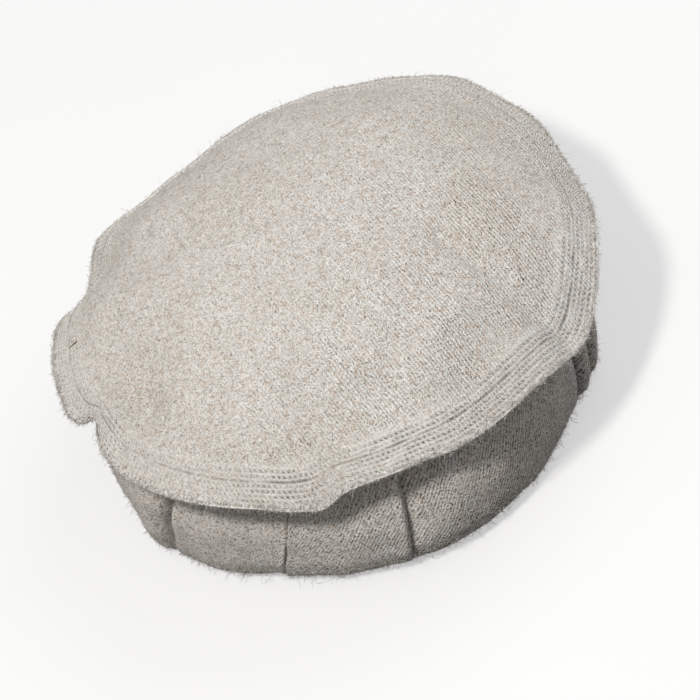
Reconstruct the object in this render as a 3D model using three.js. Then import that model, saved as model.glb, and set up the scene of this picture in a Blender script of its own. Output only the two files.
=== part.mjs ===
// Pakol: a soft round wool cap sewn from two pieces of cloth.
// The crown is a domed disc with a wavy rim. The side cloth is sewn under that rim, comes in and down
// round the head, and is turned out at the bottom and rolled up outside as the band that the cap rests on.
// Millimetres and degrees, +Z up. The crown's middle is over the origin, on the plane that the band rests on.
// The wearer's face is towards -Y, and azimuth runs anticlockwise from +X.
import * as THREE from 'three';

// Driving sizes
const RIM_RADIUS = 127.5;
const RIM_HEIGHT = 61;
const CROWN_HEIGHT = 98;
const DOME_POWER = 2.8;
const CROWN_WALL = 2.8;
const BAND_WALL = 3.2;
const SEAM_GAP = 0.4;
const EDGE_ROUND = 1.2;
const BAND_HEIGHT = 58;

// The band's own middle, because the crown is set a little off it
const BAND_MIDDLE = { x: 5, y: 4 };

// Waves round the rim: bell width in degrees, rise up and push out in mm, and the power by which
// a wave fades from the rim towards the crown's middle
const RIM_WAVES = [
  { azimuth: 12, width: 14, rise: 5, push: -1, fade: 3 },
  { azimuth: 30.5, width: 1.4, rise: 4, push: -4, fade: 12 },
  { azimuth: 31.5, width: 3.2, rise: -4, push: -5, fade: 12 },
  { azimuth: 38, width: 5, rise: 2, push: -3, fade: 10 },
  { azimuth: 52, width: 9, rise: 2, push: 0, fade: 3 },
  { azimuth: 72, width: 12, rise: 3, push: 0, fade: 3 },
  { azimuth: 86, width: 3, rise: -2.5, push: 0, fade: 8 },
  { azimuth: 92.5, width: 2.8, rise: -5.8, push: 0, fade: 8 },
  { azimuth: 104, width: 6, rise: 5.5, push: 0, fade: 6 },
  { azimuth: 114, width: 4, rise: 3.2, push: 0, fade: 8 },
  { azimuth: 158, width: 9, rise: -10, push: 0, fade: 3 },
  { azimuth: 184, width: 10, rise: 3, push: -1, fade: 3 },
  { azimuth: 203, width: 10, rise: -2, push: -4.5, fade: 3 },
  { azimuth: 245, width: 14, rise: 5, push: 0, fade: 3 },
  { azimuth: 314, width: 12, rise: -6, push: -1, fade: 3 },
  { azimuth: 332, width: 6, rise: 0, push: 2, fade: 3 },
  { azimuth: 344, width: 6, rise: -9, push: -2, fade: 4 },
];

// Folds in the crown, each along a straight line in plan: radii, half width and lift in mm
const CROWN_FOLDS = [
  { fromAzimuth: 170, fromRadius: 64, toAzimuth: 154, toRadius: 120, halfWidth: 3, lift: -1.6 },
  { fromAzimuth: 174, fromRadius: 68, toAzimuth: 157, toRadius: 122, halfWidth: 8, lift: -2.5 },
  { fromAzimuth: 144, fromRadius: 72, toAzimuth: 113, toRadius: 94, halfWidth: 6, lift: -2.8 },
  { fromAzimuth: 137, fromRadius: 86, toAzimuth: 124, toRadius: 98, halfWidth: 9, lift: 2.2 },
  { fromAzimuth: 81, fromRadius: 62, toAzimuth: 88, toRadius: 108, halfWidth: 7, lift: -2.2 },
  { fromAzimuth: 92, fromRadius: 75, toAzimuth: 95, toRadius: 124, halfWidth: 7, lift: 2.5 },
  { fromAzimuth: 33, fromRadius: 118, toAzimuth: 37, toRadius: 102, halfWidth: 5, lift: 3 },
  { fromAzimuth: 41, fromRadius: 118, toAzimuth: 44, toRadius: 102, halfWidth: 6, lift: -4.5 },
  { fromAzimuth: 346, fromRadius: 118, toAzimuth: 356, toRadius: 51, halfWidth: 15, lift: -3 },
  { fromAzimuth: 240, fromRadius: 116, toAzimuth: 246, toRadius: 78, halfWidth: 13, lift: 2.5 },
  { fromAzimuth: 304, fromRadius: 116, toAzimuth: 296, toRadius: 72, halfWidth: 13, lift: -3 },
];

// Pleats down the band: reach to each side and lean in degrees, depth in mm
const BAND_PLEATS = [
  { azimuth: 12, before: 7, after: 2, depth: 4, lean: 4 },
  { azimuth: 51.5, before: 8, after: 2, depth: 9, lean: 8 },
  { azimuth: 108, before: 1.2, after: 9, depth: 4, lean: 3 },
  { azimuth: 161.5, before: 2.5, after: 2.5, depth: 8, lean: 0 },
  { azimuth: 167.5, before: 2.5, after: 2.5, depth: 8, lean: 0 },
  { azimuth: 214, before: 8, after: 2, depth: 5, lean: -4 },
  { azimuth: 247, before: 2, after: 9, depth: 4, lean: 3 },
  { azimuth: 283, before: 8, after: 2, depth: 6, lean: -5 },
  { azimuth: 322, before: 2, after: 8, depth: 4, lean: 3 },
];
const LEAN_REACH = 12;

// Places where the band stands proud: bell width in degrees, out in mm
const BAND_SWELLS = [
  { azimuth: 38, width: 5, out: 1.5 },
  { azimuth: 47, width: 5, out: 5.5 },
  { azimuth: 63, width: 5, out: 3 },
  { azimuth: 117, width: 17, out: 9 },
  { azimuth: 148, width: 13, out: 2.5 },
  { azimuth: 164.5, width: 2, out: 2 },
  { azimuth: 171.5, width: 4, out: 5 },
];

// The side cloth under the rim, as shares of the way from the crown's middle to its rim: stitched flat
// against the crown, then let down from it by a drop in mm. Its back turns down further out than its face.
const SEAM_ROWS = [
  { faceShare: 1, backShare: 1, drop: 0 },
  { faceShare: 0.945, backShare: 0.945, drop: 0 },
  { faceShare: 0.885, backShare: 0.885, drop: 0 },
  { faceShare: 0.83, backShare: 0.85, drop: 2 },
];

// Middle line of the side cloth from the rim's seam onwards: shares say how far a row follows
// the rim's waves, the band's pleats and swells, and the band's own middle
const SIDE_SECTION = [
  { name: 'in to the head', radius: 97.8, height: 61, wave: 0.4, pleat: 0, swell: 0, shift: 0.7 },
  { name: 'top of the inner wall', radius: 95.2, height: 50, wave: 0, pleat: 0, swell: 0, shift: 1 },
  { name: 'foot of the inner wall', radius: 94.8, height: 11, wave: 0, pleat: 0, swell: 0, shift: 1 },
  { name: 'inner turn', radius: 96.6, height: 4, wave: 0, pleat: 0, swell: 0, shift: 1 },
  { name: 'inner edge of the rest', radius: 99.5, height: 1.2, wave: 0, pleat: 0, swell: 0, shift: 1 },
  { name: 'outer edge of the rest', radius: 105.5, height: 1.2, wave: 0, pleat: 0.1, swell: 0.5, shift: 1 },
  { name: 'outer turn', radius: 110.4, height: 4.4, wave: 0, pleat: 0.3, swell: 0.9, shift: 1 },
  { name: 'low on the band', radius: 112.8, height: 11, wave: 0, pleat: 0.65, swell: 1, shift: 1 },
  { name: 'widest on the band', radius: 114.3, height: 23, wave: 0, pleat: 1, swell: 0.95, shift: 0.8 },
  { name: 'high on the band', radius: 113.6, height: 40, wave: 0.2, pleat: 1, swell: 0.8, shift: 0.5 },
  { name: 'under the rim', radius: 111.4, height: 51, wave: 0.5, pleat: 0.9, swell: 0.6, shift: 0.3 },
  { name: 'top fold', radius: 106.6, height: 56, wave: 0.5, pleat: 0.5, swell: 0.3, shift: 0.4 },
  { name: 'turned in', radius: 102, height: 53, wave: 0.4, pleat: 0.2, swell: 0.1, shift: 0.65 },
  { name: 'tucked hem', radius: 100.6, height: 42, wave: 0.2, pleat: 0, swell: 0, shift: 1 },
  { name: 'end of the hem', radius: 100.6, height: 22, wave: 0, pleat: 0, swell: 0, shift: 1 },
];

// Rows of the crown's two faces, as shares of the way from its middle to its rim
const CROWN_TOP_SHARES = [0.13, 0.27, 0.4, 0.52, 0.63, 0.73, 0.82, 0.885, 0.945, 1];
const CROWN_UNDER_SHARES = [1, 0.945, 0.885, 0.79, 0.66, 0.48, 0.25];

// Even azimuth steps, the width up to which a wave of the rim has steps of its own, and how near a step
// may stand to the ones before it
const AZIMUTH_STEP = 6;
const NARROW_WAVE = 3.5;
const STEP_CLEARANCE = 1.6;
const WAVE_STEP_CLEARANCE = 1;
// How far apart two points are taken to read the crown's slope
const NORMAL_STEP = { azimuth: 0.5, share: 0.005 };

const WOOL = { color: 0xc4bfb6, roughness: 0.95, metalness: 0 };

function turnBetween(from, to) {
  return THREE.MathUtils.euclideanModulo(to - from + 180, 360) - 180;
}

function bell(distance, width) {
  return Math.exp(-0.5 * (distance / width) ** 2);
}

function planPoint(azimuth, radius) {
  const angle = THREE.MathUtils.degToRad(azimuth);
  return new THREE.Vector2(Math.cos(angle), Math.sin(angle)).multiplyScalar(radius);
}

// Azimuths of the steps round the cap: those of the pleats and of the narrow waves, then even ones
// where there is room
function azimuthSteps() {
  const steps = [];
  const addClear = (azimuth, clearance) => {
    const clear = steps.every((step) => Math.abs(turnBetween(step, azimuth)) > clearance);
    if (clear) steps.push(azimuth);
  };
  for (const { azimuth, before, after } of BAND_PLEATS) {
    steps.push(azimuth - before, azimuth - before / 3, azimuth, azimuth + after / 2, azimuth + after);
  }
  for (const { azimuth, width } of RIM_WAVES.filter((wave) => wave.width < NARROW_WAVE)) {
    addClear(azimuth, WAVE_STEP_CLEARANCE);
    addClear(azimuth - width, WAVE_STEP_CLEARANCE);
    addClear(azimuth + width, WAVE_STEP_CLEARANCE);
  }
  for (let azimuth = 0; azimuth < 360; azimuth += AZIMUTH_STEP) addClear(azimuth, STEP_CLEARANCE);
  return steps.map((step) => THREE.MathUtils.euclideanModulo(step, 360)).sort((a, b) => a - b);
}

function rimWave(azimuth, share) {
  const wave = { rise: 0, push: 0 };
  for (const row of RIM_WAVES) {
    const part = bell(turnBetween(row.azimuth, azimuth), row.width) * share ** row.fade;
    wave.rise += row.rise * part;
    wave.push += row.push * part;
  }
  return wave;
}

function foldLift(point) {
  let lift = 0;
  const nearest = new THREE.Vector3();
  for (const fold of CROWN_FOLDS) {
    const from = planPoint(fold.fromAzimuth, fold.fromRadius);
    const to = planPoint(fold.toAzimuth, fold.toRadius);
    const line = new THREE.Line3(new THREE.Vector3(from.x, from.y, 0), new THREE.Vector3(to.x, to.y, 0));
    line.closestPointToPoint(new THREE.Vector3(point.x, point.y, 0), true, nearest);
    const distance = Math.hypot(point.x - nearest.x, point.y - nearest.y);
    lift += fold.lift * bell(distance, fold.halfWidth);
  }
  return lift;
}

// A point of the crown's outer face, from its azimuth and its share of the way out to the rim
function crownFace(azimuth, share) {
  const wave = rimWave(azimuth, share);
  const plan = planPoint(azimuth, (RIM_RADIUS + wave.push) * share);
  const dome = (CROWN_HEIGHT - RIM_HEIGHT) * (1 - share ** DOME_POWER);
  const height = RIM_HEIGHT + wave.rise + dome + foldLift(plan);
  return new THREE.Vector3(plan.x, plan.y, height);
}

function crownNormal(azimuth, share) {
  const turn = NORMAL_STEP.azimuth;
  const reach = NORMAL_STEP.share;
  const round = crownFace(azimuth + turn, share).sub(crownFace(azimuth - turn, share));
  const outward = crownFace(azimuth, share + reach).sub(crownFace(azimuth, share - reach));
  return outward.cross(round).normalize();
}

// A point at a depth under the crown's outer face
function underCrown(azimuth, share, depth) {
  return crownFace(azimuth, share).addScaledVector(crownNormal(azimuth, share), -depth);
}

function bandPleat(azimuth) {
  let depth = 0;
  for (const pleat of BAND_PLEATS) {
    const turn = turnBetween(pleat.azimuth, azimuth);
    const reach = turn < 0 ? pleat.before : pleat.after;
    depth += pleat.depth * Math.max(0, 1 - Math.abs(turn) / reach) ** 2;
  }
  return depth;
}

function bandSwell(azimuth) {
  let out = 0;
  for (const swell of BAND_SWELLS) {
    out += swell.out * bell(turnBetween(swell.azimuth, azimuth), swell.width);
  }
  return out;
}

function bandLean(azimuth, height) {
  let lean = 0;
  for (const pleat of BAND_PLEATS) {
    lean += pleat.lean * bell(turnBetween(pleat.azimuth, azimuth), LEAN_REACH / 2);
  }
  return lean * (height / BAND_HEIGHT - 0.5);
}

// Middle line of the side cloth below the seam at one azimuth, as radius and height
function sideLine(azimuth) {
  const wave = rimWave(azimuth, 1);
  const pleat = bandPleat(azimuth);
  const swell = bandSwell(azimuth);
  return SIDE_SECTION.map((row) => ({
    radius: row.radius - pleat * row.pleat + swell * row.swell,
    height: row.height + Math.min(wave.rise, 0) * row.wave,
    shift: row.shift,
  }));
}

function sidePoint(azimuth, radius, height, shift) {
  const plan = planPoint(azimuth + bandLean(azimuth, height), radius);
  plan.x += BAND_MIDDLE.x * shift;
  plan.y += BAND_MIDDLE.y * shift;
  return new THREE.Vector3(plan.x, plan.y, Math.max(0, height));
}

// The side cloth's section at one azimuth: its shown face from the rim to the hem, then its back face
function sideOutline(azimuth) {
  const seamTop = CROWN_WALL + SEAM_GAP;
  const face = SEAM_ROWS.map(({ faceShare, drop }) => underCrown(azimuth, faceShare, seamTop + drop));
  const back = SEAM_ROWS.map(({ backShare, drop }) => (
    underCrown(azimuth, backShare, seamTop + drop + BAND_WALL)
  ));
  const line = sideLine(azimuth);
  line.forEach((here, index) => {
    const last = line[Math.max(0, index - 1)];
    const next = line[Math.min(line.length - 1, index + 1)];
    const along = new THREE.Vector2(next.radius - last.radius, next.height - last.height).normalize();
    const offset = new THREE.Vector2(along.y, -along.x).multiplyScalar(BAND_WALL / 2);
    face.push(sidePoint(azimuth, here.radius + offset.x, here.height + offset.y, here.shift));
    back.push(sidePoint(azimuth, here.radius - offset.x, here.height - offset.y, here.shift));
  });
  const seamEdge = underCrown(azimuth, 1, seamTop + BAND_WALL / 2);
  const outward = planPoint(azimuth, EDGE_ROUND);
  seamEdge.add(new THREE.Vector3(outward.x, outward.y, 0));
  return [seamEdge, ...face, ...back.reverse()];
}

// Turns a closed skin's triangles so that they face out
function facingOut(points, triangles) {
  let volume = 0;
  for (const [a, b, c] of triangles) {
    volume += points[a].dot(new THREE.Vector3().crossVectors(points[b], points[c]));
  }
  return volume < 0 ? triangles.map(([a, b, c]) => [a, c, b]) : triangles;
}

// A closed skin over rings of points that all have a point for each azimuth step. With poles the first
// and last rings close on them, and without poles the last ring joins the first.
function skin(rings, poles) {
  const around = rings[0].length;
  const points = rings.flat();
  const triangles = [];
  const joins = poles ? rings.length - 1 : rings.length;
  for (let i = 0; i < joins; i += 1) {
    const here = i * around;
    const there = ((i + 1) % rings.length) * around;
    for (let j = 0; j < around; j += 1) {
      const next = (j + 1) % around;
      triangles.push([here + j, there + j, there + next], [here + j, there + next, here + next]);
    }
  }
  if (poles) {
    const start = points.push(poles.start) - 1;
    const end = points.push(poles.end) - 1;
    const lastRing = (rings.length - 1) * around;
    for (let j = 0; j < around; j += 1) {
      const next = (j + 1) % around;
      triangles.push([start, j, next], [lastRing + j, end, lastRing + next]);
    }
  }
  const geometry = new THREE.BufferGeometry().setFromPoints(points);
  geometry.setIndex(facingOut(points, triangles).flat());
  geometry.computeVertexNormals();
  return geometry;
}

function crownGeometry(azimuths) {
  const ring = (place) => azimuths.map(place);
  const top = CROWN_TOP_SHARES.map((share) => ring((azimuth) => crownFace(azimuth, share)));
  const edge = ring((azimuth) => {
    const outward = planPoint(azimuth, EDGE_ROUND);
    return underCrown(azimuth, 1, CROWN_WALL / 2).add(new THREE.Vector3(outward.x, outward.y, 0));
  });
  const under = CROWN_UNDER_SHARES.map((share) => ring((azimuth) => underCrown(azimuth, share, CROWN_WALL)));
  const start = crownFace(0, 0);
  const end = start.clone().setZ(start.z - CROWN_WALL);
  return skin([...top, edge, ...under], { start, end });
}

function rolledBandGeometry(azimuths) {
  const outlines = azimuths.map(sideOutline);
  const rings = outlines[0].map((_, index) => outlines.map((outline) => outline[index]));
  return skin(rings);
}

function woolMesh(name, geometry) {
  const mesh = new THREE.Mesh(geometry, new THREE.MeshStandardMaterial(WOOL));
  mesh.name = name;
  return mesh;
}

const azimuths = azimuthSteps();
const pakol = new THREE.Group();
pakol.name = 'pakol';
pakol.add(woolMesh('crown', crownGeometry(azimuths)));
pakol.add(woolMesh('rolled_band', rolledBandGeometry(azimuths)));

export default pakol;
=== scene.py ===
import math
from collections import namedtuple

import bpy
import numpy as np
from mathutils import Matrix, Vector


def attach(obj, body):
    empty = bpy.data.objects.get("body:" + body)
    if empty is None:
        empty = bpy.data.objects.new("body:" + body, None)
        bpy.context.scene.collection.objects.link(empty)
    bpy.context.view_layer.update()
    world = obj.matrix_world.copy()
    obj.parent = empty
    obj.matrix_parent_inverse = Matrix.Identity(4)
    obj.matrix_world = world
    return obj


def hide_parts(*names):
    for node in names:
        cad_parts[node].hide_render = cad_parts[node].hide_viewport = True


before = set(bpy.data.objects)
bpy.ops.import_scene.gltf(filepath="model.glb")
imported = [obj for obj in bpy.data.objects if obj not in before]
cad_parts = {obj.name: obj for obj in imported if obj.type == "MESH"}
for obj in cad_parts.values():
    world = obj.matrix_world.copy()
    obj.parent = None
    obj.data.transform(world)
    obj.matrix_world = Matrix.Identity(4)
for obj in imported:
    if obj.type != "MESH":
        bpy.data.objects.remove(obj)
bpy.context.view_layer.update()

MM = 0.001

# Driving sizes, as in the solids
RIM_RADIUS = 127.5
RIM_HEIGHT = 61
CROWN_HEIGHT = 98
DOME_POWER = 2.8
CROWN_WALL = 2.8
BAND_WALL = 3.2
SEAM_GAP = 0.4
EDGE_ROUND = 1.2
BAND_HEIGHT = 58
BAND_MIDDLE = np.array([5.0, 4.0])
LEAN_REACH = 12
NORMAL_STEP = {"azimuth": 0.5, "share": 0.005}

RimWave = namedtuple("RimWave", "azimuth width rise push fade")
RIM_WAVES = [
    RimWave(12, 14, 5, -1, 3),
    RimWave(30.5, 1.4, 4, -4, 12),
    RimWave(31.5, 3.2, -4, -5, 12),
    RimWave(38, 5, 2, -3, 10),
    RimWave(52, 9, 2, 0, 3),
    RimWave(72, 12, 3, 0, 3),
    RimWave(86, 3, -2.5, 0, 8),
    RimWave(92.5, 2.8, -5.8, 0, 8),
    RimWave(104, 6, 5.5, 0, 6),
    RimWave(114, 4, 3.2, 0, 8),
    RimWave(158, 9, -10, 0, 3),
    RimWave(184, 10, 3, -1, 3),
    RimWave(203, 10, -2, -4.5, 3),
    RimWave(245, 14, 5, 0, 3),
    RimWave(314, 12, -6, -1, 3),
    RimWave(332, 6, 0, 2, 3),
    RimWave(344, 6, -9, -2, 4),
]

CrownFold = namedtuple("CrownFold", "from_azimuth from_radius to_azimuth to_radius half_width lift")
CROWN_FOLDS = [
    CrownFold(170, 64, 154, 120, 3, -1.6),
    CrownFold(174, 68, 157, 122, 8, -2.5),
    CrownFold(144, 72, 113, 94, 6, -2.8),
    CrownFold(137, 86, 124, 98, 9, 2.2),
    CrownFold(81, 62, 88, 108, 7, -2.2),
    CrownFold(92, 75, 95, 124, 7, 2.5),
    CrownFold(33, 118, 37, 102, 5, 3),
    CrownFold(41, 118, 44, 102, 6, -4.5),
    CrownFold(346, 118, 356, 51, 15, -3),
    CrownFold(240, 116, 246, 78, 13, 2.5),
    CrownFold(304, 116, 296, 72, 13, -3),
]

BandPleat = namedtuple("BandPleat", "azimuth before after depth lean")
BAND_PLEATS = [
    BandPleat(12, 7, 2, 4, 4),
    BandPleat(51.5, 8, 2, 9, 8),
    BandPleat(108, 1.2, 9, 4, 3),
    BandPleat(161.5, 2.5, 2.5, 8, 0),
    BandPleat(167.5, 2.5, 2.5, 8, 0),
    BandPleat(214, 8, 2, 5, -4),
    BandPleat(247, 2, 9, 4, 3),
    BandPleat(283, 8, 2, 6, -5),
    BandPleat(322, 2, 8, 4, 3),
]

BandSwell = namedtuple("BandSwell", "azimuth width out")
BAND_SWELLS = [
    BandSwell(38, 5, 1.5),
    BandSwell(47, 5, 5.5),
    BandSwell(63, 5, 3),
    BandSwell(117, 17, 9),
    BandSwell(148, 13, 2.5),
    BandSwell(164.5, 2, 2),
    BandSwell(171.5, 4, 5),
]

SeamRow = namedtuple("SeamRow", "face_share back_share drop")
SEAM_ROWS = [
    SeamRow(1, 1, 0),
    SeamRow(0.945, 0.945, 0),
    SeamRow(0.885, 0.885, 0),
    SeamRow(0.83, 0.85, 2),
]

# Rows of the side cloth's middle line: shares of the rim's waves, the pleats, the swells and the band's
# middle, and how many rows of the shown face and of the back run from here to the next row
SideRow = namedtuple("SideRow", "name radius height wave pleat swell shift face_rows back_rows")
SIDE_SECTION = [
    SideRow("in to the head", 97.8, 61, 0.4, 0, 0, 0.7, 3, 3),
    SideRow("top of the inner wall", 95.2, 50, 0, 0, 0, 1, 6, 4),
    SideRow("foot of the inner wall", 94.8, 11, 0, 0, 0, 1, 4, 2),
    SideRow("inner turn", 96.6, 4, 0, 0, 0, 1, 3, 2),
    SideRow("inner edge of the rest", 99.5, 1.2, 0, 0, 0, 1, 4, 2),
    SideRow("outer edge of the rest", 105.5, 1.2, 0, 0.1, 0.5, 1, 6, 2),
    SideRow("outer turn", 110.4, 4.4, 0, 0.3, 0.9, 1, 8, 2),
    SideRow("low on the band", 112.8, 11, 0, 0.65, 1, 1, 13, 3),
    SideRow("widest on the band", 114.3, 23, 0, 1, 0.95, 0.8, 18, 3),
    SideRow("high on the band", 113.6, 40, 0.2, 1, 0.8, 0.5, 11, 2),
    SideRow("under the rim", 111.4, 51, 0.5, 0.9, 0.6, 0.3, 6, 2),
    SideRow("top fold", 106.6, 56, 0.5, 0.5, 0.3, 0.4, 4, 2),
    SideRow("turned in", 102, 53, 0.4, 0.2, 0.1, 0.65, 3, 2),
    SideRow("tucked hem", 100.6, 42, 0.2, 0, 0, 1, 3, 2),
    SideRow("end of the hem", 100.6, 22, 0, 0, 0, 1, 0, 0),
]
SEAM_FACE_ROWS = 2
SEAM_BACK_ROWS = 2
BAND_RADIUS = next(row.radius for row in SIDE_SECTION if row.name == "widest on the band")

# Low swells of worn cloth: their wavelengths, their size at a wavelength of 45 mm, and how they meander
LUMP_WAVELENGTHS = (14, 17, 21, 26, 31, 38, 47, 58)
LUMP_SIZE = 0.22
LUMP_LENGTH = 45
LUMP_MEANDER = 1.5
MEANDER_LENGTH = 2.3
CROWN_LUMPS = 5
BAND_LUMPS = 11

# Sewn rows round the rim: places in mm along the cloth from its edge, and what each needle hole does
STITCH_ROWS = (3.4, 5.6, 7.8, 10.0, 12.0, 14.2, 16.6)
TIGHT_ROW = 4
STITCH_LENGTH = 2.35
STITCH_STAGGER = 0.37
RIM_COLUMNS = 1360
MESH_ROWS_PER_STITCH = (-0.55, 0.0, 0.55)
STITCH_PIT = 0.6
STITCH_GROOVE = 0.34
TIGHT_GROOVE = 0.6
HOLE_REACH = 0.42
GROOVE_REACH = 0.45
# Painted shade along each row's groove, more along the tight row, and how dark the painted shade in holes
# and grooves gets
ROW_SHADE = 0.4
TIGHT_ROW_SHADE = 0.85
PAINTED_SHADE_STRENGTH = 0.9
# Pale wear and painted highlight on the quilted crests and on the lip
CREST_WEAR_AND_HIGHLIGHT = 0.55
LIP_WEAR_AND_HIGHLIGHT = 0.75
LIP = 3.0
LIP_WHIPPING = 0.07
QUILT_PUFF = 0.2
PUFF_END = (17, 21)
WEAR_AND_HIGHLIGHT_END = (17.5, 20)
WANDER_END = (19, 26)
THREAD_RADIUS = 0.2
THREAD_SLANT = 0.4
THREADS_SHOWN = 0.7
TIGHT_TUCK = 0.4

# One stitch of thread, from hole to hole: share of the way, lift off the cloth and share of the slant
ThreadPoint = namedtuple("ThreadPoint", "share lift aside")
THREAD_ARCH = [
    ThreadPoint(0.14, -0.1, 1),
    ThreadPoint(0.32, 0.24, 0.5),
    ThreadPoint(0.5, 0.32, 0),
    ThreadPoint(0.68, 0.24, -0.5),
    ThreadPoint(0.86, -0.1, -1),
]

# How hard the sewing has pulled in round the rim, 0 to 1: a plain amount, and where it is more or less
STITCH_PULL = 0.42
StitchPull = namedtuple("StitchPull", "azimuth width more")
STITCH_PULLS = [
    StitchPull(36, 6, 0.3),
    StitchPull(85, 6, 0.55),
    StitchPull(94.5, 2.5, -0.4),
    StitchPull(112, 8, 0.5),
    StitchPull(150, 24, 0.45),
]

# Where the side cloth's two ends are sewn together, up the back of the band
BACK_SEAM_AZIMUTH = 81
BACK_SEAM_WIDTH = 0.22
BACK_SEAM_DEPTH = 0.25
BACK_SEAM_LEAN = 8
# Painted shade in the back seam's groove, 0 to 1
BACK_SEAM_SHADE = 0.3

# Painted shade in the closed pleats: reach to each side of the crease in degrees, shade 0 to 1
PleatShade = namedtuple("PleatShade", "azimuth before after shade")
PLEAT_SHADES = [
    PleatShade(51.5, 3.6, 0.5, 0.9),
    PleatShade(108, 0.3, 1.4, 0.35),
    PleatShade(161.5, 1.8, 1.8, 0.85),
    PleatShade(167.5, 1.8, 1.8, 0.85),
]


def turn_between(start, end):
    return (end - start + 180.0) % 360.0 - 180.0


def bell(distance, width):
    return np.exp(-0.5 * (distance / width) ** 2)


def smooth_step(low, high, value):
    share = np.clip((value - low) / (high - low), 0, 1)
    return share * share * (3 - 2 * share)


def unit(vectors):
    return vectors / np.linalg.norm(vectors, axis=-1, keepdims=True)


def plan_point(azimuth, radius):
    angle = np.radians(azimuth)
    return np.stack([np.cos(angle) * radius, np.sin(angle) * radius], axis=-1)


def level_outward(azimuth):
    return np.concatenate([plan_point(azimuth, 1), np.zeros((len(azimuth), 1))], axis=-1)


def rim_wave(azimuth, share):
    """How far the rim's waves lift the crown and push it out, fading from the rim to the middle."""
    rise = np.zeros_like(azimuth)
    push = np.zeros_like(azimuth)
    for wave in RIM_WAVES:
        part = bell(turn_between(wave.azimuth, azimuth), wave.width) * share ** wave.fade
        rise = rise + wave.rise * part
        push = push + wave.push * part
    return rise, push


def fold_lift(plan):
    lift = np.zeros(plan.shape[:-1])
    for fold in CROWN_FOLDS:
        start = plan_point(fold.from_azimuth, fold.from_radius)
        along = plan_point(fold.to_azimuth, fold.to_radius) - start
        share = np.clip(((plan - start) @ along) / (along @ along), 0, 1)
        distance = np.linalg.norm(plan - start - share[..., None] * along, axis=-1)
        lift = lift + fold.lift * bell(distance, fold.half_width)
    return lift


def soft_lumps(across, along, seed):
    """Low random swells of cloth that has been worn and pressed by hand, in mm."""
    dice = np.random.default_rng(seed)
    lumps = np.zeros(np.broadcast(across, along).shape)
    for wavelength in LUMP_WAVELENGTHS:
        turn = dice.uniform(0, math.pi)
        start = dice.uniform(0, 2 * math.pi)
        place = across * math.cos(turn) + along * math.sin(turn)
        aside = across * math.sin(turn) - along * math.cos(turn)
        meander = LUMP_MEANDER * np.sin(2 * math.pi * aside / (MEANDER_LENGTH * wavelength))
        size = LUMP_SIZE * wavelength / LUMP_LENGTH
        lumps = lumps + size * np.sin(2 * math.pi * place / wavelength + start + meander)
    return lumps


def crown_face(azimuth, share):
    """A point of the crown's outer face, from its azimuth and its share of the way out to the rim."""
    azimuth, share = np.broadcast_arrays(np.asarray(azimuth, float), np.asarray(share, float))
    rise, push = rim_wave(azimuth, share)
    plan = plan_point(azimuth, (RIM_RADIUS + push) * share)
    dome = (CROWN_HEIGHT - RIM_HEIGHT) * (1 - share ** DOME_POWER)
    height = RIM_HEIGHT + rise + dome + fold_lift(plan)
    return np.concatenate([plan, height[..., None]], axis=-1)


def crown_normal(azimuth, share):
    turn = NORMAL_STEP["azimuth"]
    reach = NORMAL_STEP["share"]
    inner = np.maximum(share, 2 * reach)
    round_rim = crown_face(azimuth + turn, inner) - crown_face(azimuth - turn, inner)
    outward = crown_face(azimuth, inner + reach) - crown_face(azimuth, inner - reach)
    return unit(np.cross(outward, round_rim))


def under_crown(azimuth, share, depth):
    normal = crown_normal(azimuth, share)
    return crown_face(azimuth, share) - normal * np.asarray(depth)[..., None]


def share_from_edge(distance):
    """Turns a distance in mm along the cloth from the rim's edge into a share of the way out."""
    shares = np.linspace(1, 0.6, 400)
    heights = (CROWN_HEIGHT - RIM_HEIGHT) * (1 - shares ** DOME_POWER)
    steps = np.hypot(np.diff(shares * RIM_RADIUS), np.diff(heights))
    path = np.concatenate([[0], np.cumsum(steps)])
    return np.interp(distance, path, shares)


def row_wander(azimuth):
    """How far the sewn rows stray from an even distance to the edge, in mm."""
    angle = np.radians(azimuth)
    stray = 0.35 * np.sin(3 * angle + 0.6) + 0.25 * np.sin(7 * angle + 2.1) + 0.12 * np.sin(13 * angle)
    return stray - 1.1 * bell(turn_between(155, azimuth), 34)


def sewn_share(azimuth, distance):
    """Share of the way out of a point that lies at a distance from the edge, in step with the sewn rows."""
    taper = smooth_step(0.5, STITCH_ROWS[0], distance) * (1 - smooth_step(*WANDER_END, distance))
    return share_from_edge(distance + row_wander(azimuth) * taper)


def stitches_in(row):
    """How many stitches go round the rim in a sewn row."""
    radius = RIM_RADIUS * share_from_edge(STITCH_ROWS[row])
    return round(2 * math.pi * radius / STITCH_LENGTH)


def stitch_azimuth(row, place):
    """Azimuth of a place along a sewn row counted in stitches, where whole numbers are needle holes."""
    return (place + STITCH_STAGGER * row) * 360 / stitches_in(row)


def stitch_pull(azimuth):
    pull = np.full_like(azimuth, STITCH_PULL, dtype=float)
    for place in STITCH_PULLS:
        pull = pull + place.more * bell(turn_between(place.azimuth, azimuth), place.width)
    return np.clip(pull, 0, 1)


def row_fading(azimuth, row):
    """How clearly a sewn row shows along its length, 0 to 1, where the nap closes over it in places."""
    angle = np.radians(azimuth)
    waves = (np.sin(11 * angle + 2.1 * row) + np.sin(29 * angle + 1.3 * row * row)
             + np.sin(53 * angle + 4.7 * row))
    return np.clip(0.7 + 0.25 * waves, 0.2, 1)


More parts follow.
